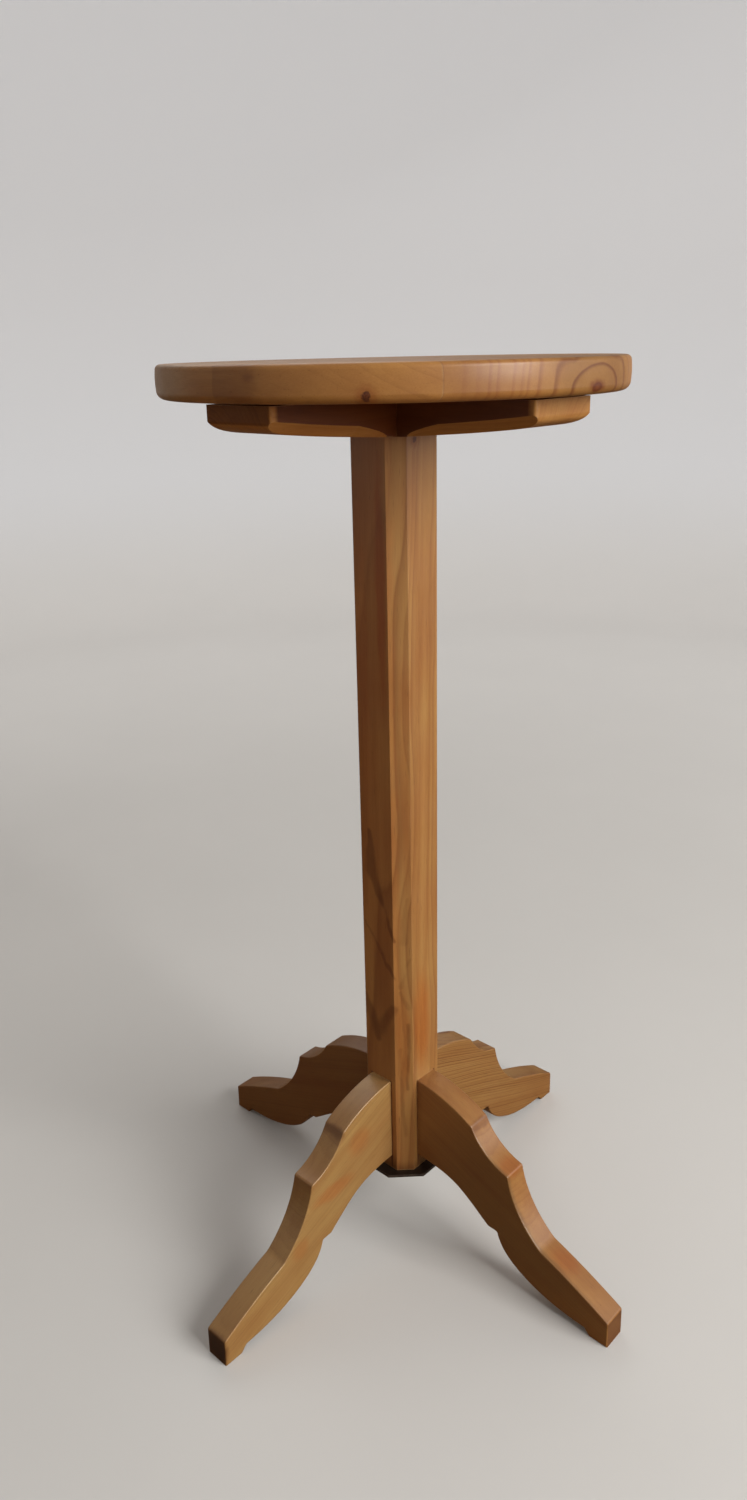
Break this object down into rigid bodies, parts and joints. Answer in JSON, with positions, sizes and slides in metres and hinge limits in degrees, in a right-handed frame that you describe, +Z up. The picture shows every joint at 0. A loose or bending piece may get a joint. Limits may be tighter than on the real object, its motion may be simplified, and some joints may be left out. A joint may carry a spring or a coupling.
{
  "type": "sculpting turntable",
  "caption": "Round wooden top that turns on a batten cross, on a tall chamfered column with sawn cabriole legs, for modelling or display.",
  "frame": {"origin": "on the floor, under the column's axis", "axes": "+Z up along the column; the legs and the battens of the cross point along X and Y; the grain of the top runs along X"},
  "size_m": [0.561, 0.561, 0.93],
  "materials": {
    "pine_top": "satin varnish",
    "pine_column": "satin varnish",
    "pine_legs": "satin varnish",
    "pine_cross": "satin varnish",
    "beech_dowels": "raw",
    "plate_steel": "satin dark brown",
    "screw_steel": "zinc plated",
    "pivot_steel": "turned",
    "bearing_steel": "ground",
    "ball_steel": "polished",
    "cage_brass": "turned",
    "sleeve_brass": "turned"
  },
  "bodies": {
    "stand": {"column": "pine_column", "leg_front_right": "pine_legs", "leg_front_left": "pine_legs", "leg_back_right": "pine_legs", "leg_back_left": "pine_legs", "leg_dowels": "beech_dowels", "base_plate": "plate_steel", "base_plate_screws": "screw_steel", "cross_batten_lower": "pine_cross", "cross_batten_upper": "pine_cross", "cross_screws": "screw_steel", "pivot_sleeve": "sleeve_brass", "bearing_lower_race": "bearing_steel"},
    "turntable": {"top_board_front": "pine_top", "top_board_heart": "pine_top", "top_board_back": "pine_top", "board_dowels": "beech_dowels", "pivot_flange": "pivot_steel", "flange_screws": "screw_steel", "bearing_upper_race": "bearing_steel"},
    "ball_ring": {"bearing_cage": "cage_brass", "bearing_balls": "ball_steel"}
  },
  "joints": [
    {"name": "top_spin", "type": "hinge", "parent": "stand", "child": "turntable", "pos_m": [0, 0, 0.902], "axis": [0, 0, 1], "continuous": true},
    {"name": "ball_ring_spin", "type": "hinge", "parent": "stand", "child": "ball_ring", "pos_m": [0, 0, 0.902], "axis": [0, 0, 1], "continuous": true}
  ],
  "couplings": [
    {"joint": "ball_ring_spin", "follows": "top_spin", "ratio": 0.5}
  ]
}
